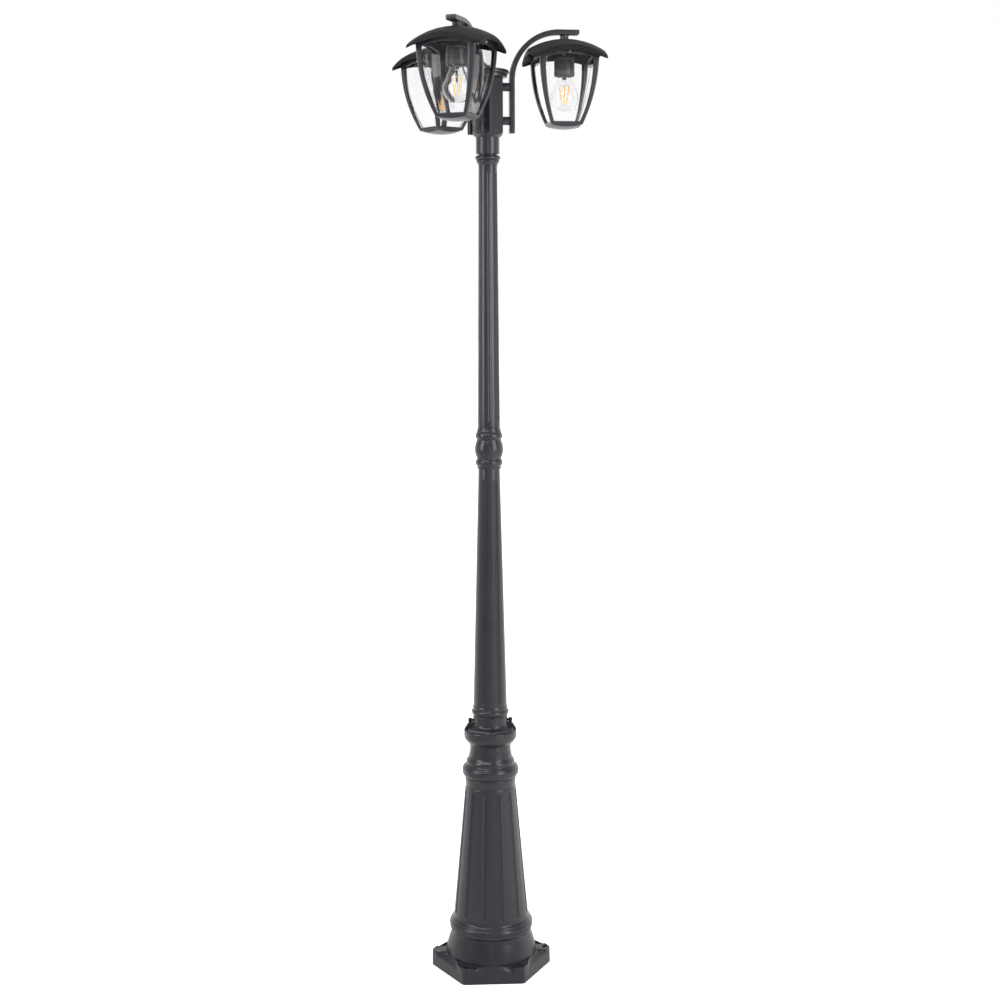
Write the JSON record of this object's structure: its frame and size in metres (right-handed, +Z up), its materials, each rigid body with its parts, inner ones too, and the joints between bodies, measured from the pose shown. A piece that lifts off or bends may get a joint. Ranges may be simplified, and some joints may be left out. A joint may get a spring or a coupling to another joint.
{
  "type": "street lamp post",
  "caption": "Tall fluted lamp post on a hexagonal cast base, with bent flat arms that carry square domed lanterns with clear panes and filament bulbs.",
  "frame": {"origin": "centre of the plinth underside, on the pole axis", "axes": "+Z up the pole; -Y out of one flat side of the hexagonal plinth; +X through the plinth corner with a bolt hole; the first arm stands 5.7 degrees from +X"},
  "size_m": [0.4598, 0.4998, 2.09],
  "materials": {
    "cast_coat": "anthracite powder coat, satin with a fine texture",
    "roof_coat": "black powder coat, matt with a fine texture",
    "clear_pane": "clear moulded pane",
    "bulb_glass": "clear blown glass",
    "holder_plastic": "black moulded plastic",
    "terminal_plastic": "cream moulded plastic",
    "black_screw": "blackened steel",
    "bright_screw": "bright nickel-plated steel",
    "zinc_steel": "zinc-plated steel",
    "cap_metal": "nickel-plated screw shell",
    "filament": "orange phosphor coat, glows when lit"
  },
  "bodies": {
    "post": {"base_casting": "cast_coat", "collar": "cast_coat", "clamp_screws": "black_screw", "lower_pole": "cast_coat", "knuckle": "cast_coat", "upper_pole": "cast_coat", "pole_capital": "cast_coat"},
    "head": {"head_column": "cast_coat", "head_cap": "cast_coat", "cap_screws": "black_screw", "head_grub_screws": "black_screw", "terminal_block": "terminal_plastic", "arm_standoffs": "cast_coat", "hanger_nipples": "zinc_steel", "hanger_locknuts": "zinc_steel", "arm_1": "cast_coat", "stem_1": "cast_coat", "roof_1": "roof_coat", "lampholder_1": "holder_plastic", "arm_2": "cast_coat", "stem_2": "cast_coat", "roof_2": "roof_coat", "lampholder_2": "holder_plastic", "arm_3": "cast_coat", "stem_3": "cast_coat", "roof_3": "roof_coat", "lampholder_3": "holder_plastic"},
    "cage_body_1": {"cage_1": "cast_coat", "panes_1": "clear_pane", "thumb_screws_1": "bright_screw"},
    "bulb_body_1": {"bulb_glass_1": "bulb_glass", "bulb_stem_1": "bulb_glass", "bulb_cap_1": "cap_metal", "bulb_filaments_1": "filament"},
    "cage_body_2": {"cage_2": "cast_coat", "panes_2": "clear_pane", "thumb_screws_2": "bright_screw"},
    "bulb_body_2": {"bulb_glass_2": "bulb_glass", "bulb_stem_2": "bulb_glass", "bulb_cap_2": "cap_metal", "bulb_filaments_2": "filament"},
    "cage_body_3": {"cage_3": "cast_coat", "panes_3": "clear_pane", "thumb_screws_3": "bright_screw"},
    "bulb_body_3": {"bulb_glass_3": "bulb_glass", "bulb_stem_3": "bulb_glass", "bulb_cap_3": "cap_metal", "bulb_filaments_3": "filament"}
  },
  "joints": [
    {"name": "head_swivel", "type": "hinge", "parent": "post", "child": "head", "pos_m": [0, 0, 1.85], "axis": [0, 0, 1], "range_deg": [-170, 170]},
    {"name": "cage_drop_1", "type": "slide", "parent": "head", "child": "cage_body_1", "axis": [0, 0, -1], "range_m": [0, 0.16]},
    {"name": "bulb_unscrew_1", "type": "slide", "parent": "head", "child": "bulb_body_1", "axis": [0, 0, -1], "range_m": [0, 0.02]},
    {"name": "cage_drop_2", "type": "slide", "parent": "head", "child": "cage_body_2", "axis": [0, 0, -1], "range_m": [0, 0.16]},
    {"name": "bulb_unscrew_2", "type": "slide", "parent": "head", "child": "bulb_body_2", "axis": [0, 0, -1], "range_m": [0, 0.02]},
    {"name": "cage_drop_3", "type": "slide", "parent": "head", "child": "cage_body_3", "axis": [0, 0, -1], "range_m": [0, 0.16]},
    {"name": "bulb_unscrew_3", "type": "slide", "parent": "head", "child": "bulb_body_3", "axis": [0, 0, -1], "range_m": [0, 0.02]}
  ]
}
